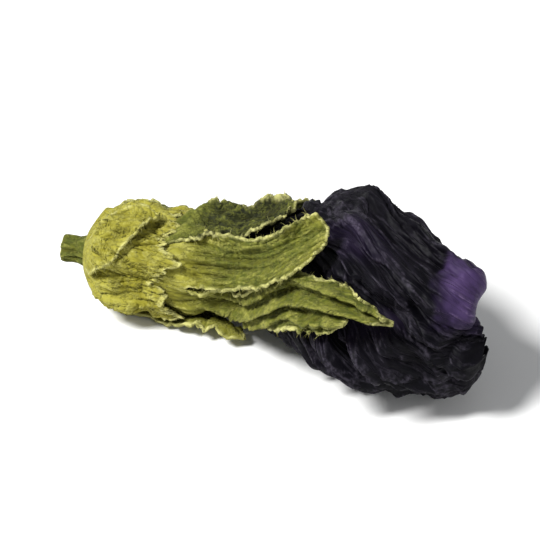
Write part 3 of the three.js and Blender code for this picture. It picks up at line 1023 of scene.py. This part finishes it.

# %% [markdown]
# ## What both skins share
# Petals and calyx dry in the same way, whatever their colour: shade is painted into the
# valleys, highlights are painted on the crests in broken spots, and thin lines and fibres run along them,
# the lines with painted highlights too.
# These masks are one node group, which each finish then turns into its own colours.

# %% Shrivelled skin group


def skin_group():
    tree = bpy.data.node_groups.new("shrivelled_skin", "ShaderNodeTree")
    for name in ("Place", "Line Place", "Fibre Place"):
        tree.interface.new_socket(name=name, in_out="INPUT", socket_type="NodeSocketVector")
    for name in ("Fold", "Grain", "Line Detail", "Line Width"):
        tree.interface.new_socket(name=name, in_out="INPUT", socket_type="NodeSocketFloat")
    for name in ("Valley", "Crest", "Lines", "Broken Lines", "Fibres", "Grit"):
        tree.interface.new_socket(name=name, in_out="OUTPUT", socket_type="NodeSocketFloat")
    wiring = Wiring(tree)
    given = wiring.nodes.new("NodeGroupInput").outputs
    made = wiring.nodes.new("NodeGroupOutput").inputs
    grit = wiring.noise(given["Place"], given["Grain"], 5.0, 0.65)
    broken = wiring.remap(grit, 0.38, 0.62, 0.18, 1.0)
    veins = wiring.noise(given["Line Place"], 1.0, given["Line Detail"])
    lines = wiring.lines(veins, given["Line Width"])
    # Valley masks where the finishes paint shade, and Crest, broken in spots, where they paint
    # highlights.
    wiring.plug(made["Valley"], wiring.remap(given["Fold"], 0.05, 0.48, 1.0, 0.0))
    wiring.plug(made["Crest"], wiring.times(wiring.remap(given["Fold"], 0.6, 0.95), broken))
    # Lines are thin ridges along the veins: they get a bump and a painted highlight.
    wiring.plug(made["Lines"], lines)
    wiring.plug(made["Broken Lines"], wiring.times(lines, broken))
    wiring.plug(made["Fibres"], wiring.noise(given["Fibre Place"], 1.0, 4.0, 0.6))
    wiring.plug(made["Grit"], grit)
    return tree


SKIN = skin_group()
print("nodes in the shared skin:", len(SKIN.nodes))

# %% Petal material
PETAL_BLACK = (0.0016, 0.0014, 0.0030), (0.0042, 0.0035, 0.0062)  # from cloud to cloud
PETAL_VIOLET = (0.024, 0.014, 0.050), (0.062, 0.037, 0.104)
# Painted shade, put in the valleys of the folds.
PAINTED_VALLEY_SHADE = (0.0012, 0.0010, 0.0020)
# A painted highlight in grey for the crests and the vein lines, and the grey of real fibres.
PAINTED_HIGHLIGHT_GREY, FIBRE_GREY = (0.042, 0.037, 0.050), (0.036, 0.031, 0.044)
# Painted highlights on the violet: on the crests, and on the lines along the veins.
PAINTED_HIGHLIGHT_VIOLET, PAINTED_LINE_HIGHLIGHT_VIOLET = (0.120, 0.080, 0.170), (0.085, 0.055, 0.12)


def petal_finish():
    """Black with painted shade in the valleys, painted highlights on thin crests and on lines along the
    veins, violet in patches.
    """
    paint = Paint("dried_petal")
    cloud = paint.noise(paint.place, 0.45, 4)
    skin = paint.skin(
        Place=paint.place, Line_Place=paint.stretched(paint.uv, (30, 2.2, 1)),
        Fibre_Place=paint.stretched(paint.uv, (110, 7, 1)),
        Fold=paint.attribute("fold"), Grain=5.0, Line_Detail=3.0, Line_Width=0.035,
    )
    painted_crest_highlight, painted_line_highlight, fibres, grit = skin["Crest"], skin["Broken Lines"], skin["Fibres"], skin["Grit"]
    dark = paint.mix(paint.remap(cloud, 0.35, 0.65), *PETAL_BLACK)
    # Painted shade darkens the valleys.
    dark = paint.mix(paint.times(skin["Valley"], 0.8), dark, PAINTED_VALLEY_SHADE)
    # Painted highlights: grey on the vein lines and on the crests.
    dark = paint.mix(paint.times(painted_line_highlight, 0.35), dark, PAINTED_HIGHLIGHT_GREY)
    dark = paint.mix(painted_crest_highlight, dark, PAINTED_HIGHLIGHT_GREY)
    dark = paint.mix(paint.remap(fibres, 0.58, 0.78, 0, 0.2), dark, FIBRE_GREY)
    violet_tone = paint.mix(paint.remap(cloud, 0.3, 0.7), *PETAL_VIOLET)
    # Painted highlights on the violet: on the crests and on the vein lines.
    violet_tone = paint.mix(painted_crest_highlight, violet_tone, PAINTED_HIGHLIGHT_VIOLET)
    violet_tone = paint.mix(paint.times(painted_line_highlight, 0.2), violet_tone, PAINTED_LINE_HIGHLIGHT_VIOLET)
    colour = paint.mix(paint.attribute("violet"), dark, violet_tone)
    normal = paint.bump(skin["Lines"], 0.05, 0.8)
    normal = paint.bump(fibres, 0.05, 0.7, normal)
    normal = paint.bump(grit, 0.03, 0.6, normal)
    return paint.feed(
        Base_Color=colour, Normal=normal, Roughness=paint.remap(grit, 0.3, 0.7, 0.45, 0.65),
        Specular_IOR_Level=0.09, Sheen_Weight=0.008, Sheen_Roughness=0.4, Sheen_Tint=(0.8, 0.75, 0.9),
    )


petal_material = petal_finish()
for made in petals:
    made.data.materials.append(petal_material)
print("petals painted:", len(petals))

# %% Calyx material
CUP_YELLOW = (0.215, 0.194, 0.016), (0.300, 0.276, 0.036)
LEAF_OLIVE = (0.060, 0.072, 0.008), (0.115, 0.122, 0.013)
# Painted shade on the back sepals.
PAINTED_SHADE_LEAF = (0.008, 0.010, 0.002), (0.022, 0.025, 0.005)
# Painted highlights for crests and lines, which also colour the real pale fibres: brighter on the cup and
# dimmer on dark sepals.
PALE_HIGHLIGHT_AND_FIBRE = (0.37, 0.35, 0.085), (0.15, 0.16, 0.026)  # on the cup, and on a dark sepal
# Painted shade for the creases, and the brown of real spots.
PAINTED_CREASE_SHADE, SPOT_BROWN = (0.050, 0.046, 0.004), (0.085, 0.055, 0.012)
MARGIN_CREAM = (0.55, 0.53, 0.20)


def calyx_finish():
    """Yellow on the cup, olive on the sepals, painted shade in creases and on the back sepals, painted
    highlights on crests, pale margins.
    """
    paint = Paint("dried_calyx")
    rim, tone = paint.attribute("rim"), paint.attribute("tone")
    cloud = paint.noise(paint.place, 0.6, 4)
    skin = paint.skin(
        Place=paint.place, Line_Place=paint.stretched(paint.place, (0.9, 2, 2)),
        Fibre_Place=paint.stretched(paint.place, (0.8, 5, 5)),
        Fold=paint.attribute("fold"), Grain=6.0, Line_Detail=4.0, Line_Width=0.05,
    )
    fibres, grit = skin["Fibres"], skin["Grit"]
    speckle = paint.noise(paint.place, 2.2, 4, 0.65)
    mottled = paint.remap(speckle, 0.38, 0.62)
    cup_tone = paint.mix(paint.remap(cloud, 0.35, 0.65), *CUP_YELLOW)
    colour = paint.mix(paint.remap(tone, 0.05, 0.8), cup_tone, paint.mix(mottled, *LEAF_OLIVE))
    # Tones past 1 paint shade on the back sepals.
    colour = paint.mix(paint.remap(tone, 1.05, 1.5), colour, paint.mix(mottled, *PAINTED_SHADE_LEAF))
    # Painted shade darkens the creases, more on the sepals than on the cup.
    valley = paint.times(skin["Valley"], paint.remap(tone, 0.0, 0.6, 0.25, 0.48))
    colour = paint.mix(valley, colour, PAINTED_CREASE_SHADE)
    highlight_and_fibre_tone = paint.mix(paint.remap(tone, 0.1, 1.4), *PALE_HIGHLIGHT_AND_FIBRE)
    # Painted highlights on the crests and on thin lines; the fibres after them are real.
    colour = paint.mix(paint.times(skin["Crest"], 0.9), colour, highlight_and_fibre_tone)
    colour = paint.mix(paint.times(skin["Lines"], 0.3), colour, highlight_and_fibre_tone)
    colour = paint.mix(paint.remap(fibres, 0.54, 0.75, 0, 0.35), colour, highlight_and_fibre_tone)
    colour = paint.mix(paint.remap(grit, 0.66, 0.78, 0, 0.3), colour, SPOT_BROWN)
    pale = paint.times(rim, paint.remap(speckle, 0.35, 0.6, 0.2, 0.9))
    colour = paint.mix(pale, colour, MARGIN_CREAM)
    normal = paint.bump(skin["Lines"], 0.08, 0.8)
    normal = paint.bump(fibres, 0.08, 0.8, normal)
    normal = paint.bump(grit, 0.03, 0.7, normal)
    return paint.feed(
        Base_Color=colour, Normal=normal, Roughness=paint.remap(grit, 0.3, 0.7, 0.6, 0.85),
        Specular_IOR_Level=0.16, Sheen_Weight=0.03, Sheen_Roughness=0.5, Sheen_Tint=(0.95, 0.95, 0.7),
    )


calyx_material = calyx_finish()
for made in [cup, stalk, hairs, *sepals, *bracts]:
    made.data.materials.append(calyx_material)
print("calyx pieces painted:", 3 + len(sepals) + len(bracts))

# %% Column material
COLUMN_MAUVE = (0.20, 0.13, 0.26), (0.42, 0.34, 0.44)
GRIT_MAUVE = (0.10, 0.06, 0.13)


def column_finish():
    """Mauve and cloudy, with dark grit."""
    paint = Paint("dried_column")
    cloud = paint.noise(paint.place, 1.6, 4)
    grit = paint.noise(paint.place, 8.0, 4)
    colour = paint.mix(paint.remap(cloud, 0.35, 0.65), *COLUMN_MAUVE)
    colour = paint.mix(paint.remap(grit, 0.5, 0.7, 0, 0.4), colour, GRIT_MAUVE)
    return paint.feed(Base_Color=colour, Normal=paint.bump(grit, 0.04), Roughness=0.8)


column.data.materials.append(column_finish())
print("column painted")

# %% [markdown]
# ## Floor and light
# The flower lies on a plain pale floor under soft studio light: one large lamp high on the
# left, a weaker one on the right, and pale light from all round.

# %% Floor
bm = bmesh.new()
bmesh.ops.create_grid(bm, x_segments=1, y_segments=1, size=0.6)
floor_mesh = bpy.data.meshes.new("floor")
bm.to_mesh(floor_mesh)
bm.free()
floor = bpy.data.objects.new("floor", floor_mesh)
bpy.context.scene.collection.objects.link(floor)
floor_paint = Paint("pale_floor")
floor_mesh.materials.append(floor_paint.feed(Base_Color=(0.86, 0.86, 0.85), Roughness=0.9))
print("floor, m:", tuple(round(x, 2) for x in floor.dimensions))

# %% Light


def soft_lamp(name, spot, size, watts):
    """A round lamp that shines from its spot towards the flower."""
    data = bpy.data.lights.new(name, "AREA")
    data.shape, data.size, data.energy = "DISK", size, watts
    lamp = bpy.data.objects.new(name, data)
    bpy.context.scene.collection.objects.link(lamp)
    lamp.location = spot
    lamp.rotation_euler = Vector(spot).to_track_quat("Z", "Y").to_euler()
    return lamp


lamps = [
    soft_lamp("key_light", (-0.22, -0.16, 0.36), 0.15, 3.4),
    soft_lamp("fill_light", (0.34, -0.22, 0.22), 0.3, 0.4),
]
world = bpy.data.worlds.new("pale_room")
world.use_nodes = True
air = world.node_tree.nodes["Background"].inputs
air["Color"].default_value = (0.95, 0.97, 1.0, 1)
air["Strength"].default_value = 0.3
bpy.context.scene.world = world
bpy.context.scene.view_settings.view_transform = "Standard"
print("lamps:", [lamp.name for lamp in lamps])
